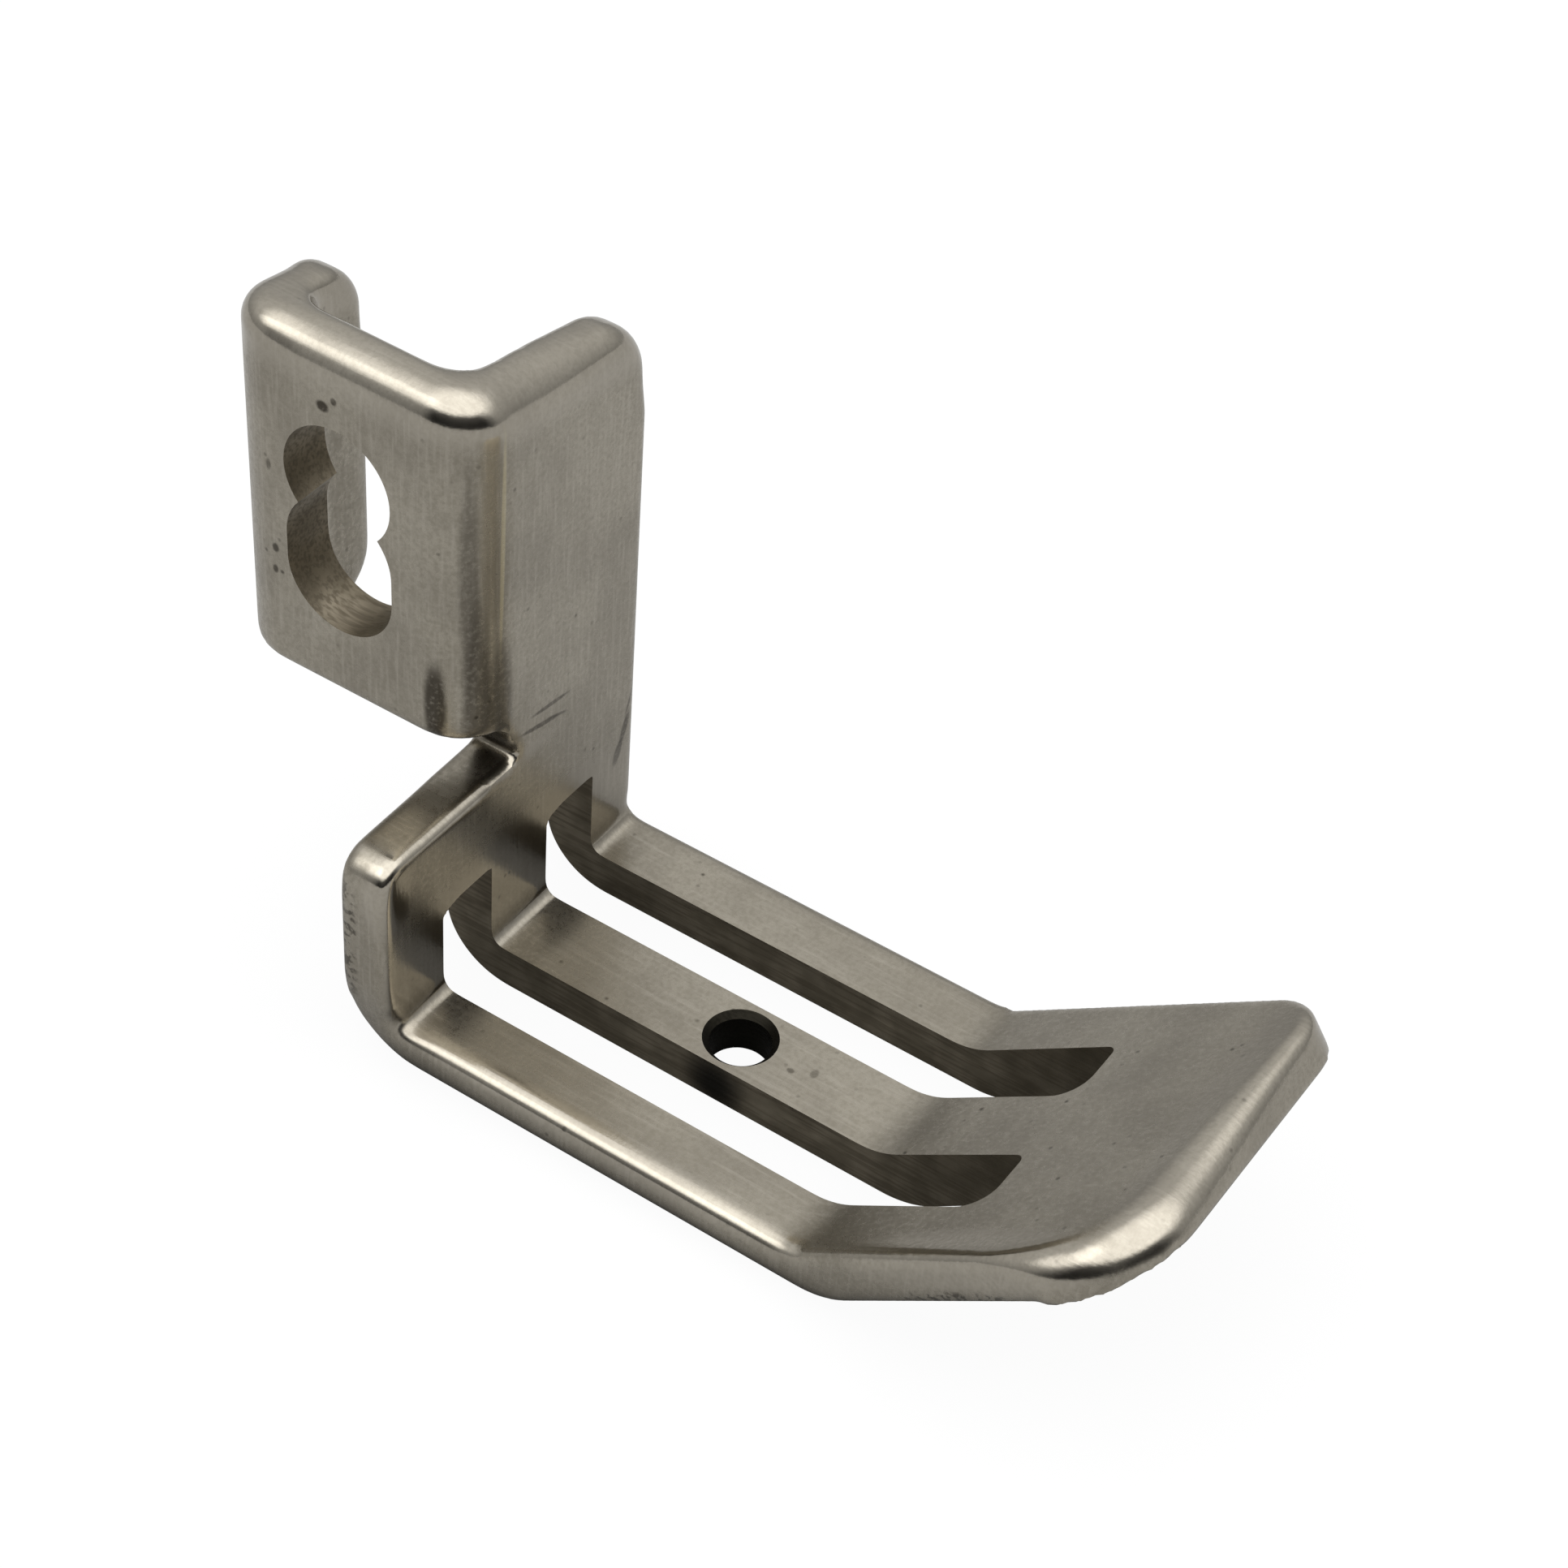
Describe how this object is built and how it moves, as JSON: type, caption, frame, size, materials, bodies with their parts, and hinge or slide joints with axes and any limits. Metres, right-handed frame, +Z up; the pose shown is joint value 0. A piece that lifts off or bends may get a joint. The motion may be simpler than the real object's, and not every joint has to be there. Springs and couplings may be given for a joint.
{
  "type": "sewing machine presser foot",
  "caption": "One-piece presser foot with a turned-up toe, needle slots between tines, an upright heel and a U-shaped side clamp for the presser bar.",
  "frame": {"origin": "on the underside of the middle tine, on the foot's centre line, 5 mm in front of the heel's front face", "axes": "+X across the foot towards the clamp's open side, +Y from the toe to the clamp, +Z up from the sole"},
  "size_m": [0.0158, 0.0419, 0.0274],
  "materials": {
    "satin_nickel": "satin nickel plate on steel, lightly tumbled, with fine pits and scratches"
  },
  "bodies": {
    "root": {"presser_foot": "satin_nickel"}
  },
  "joints": []
}
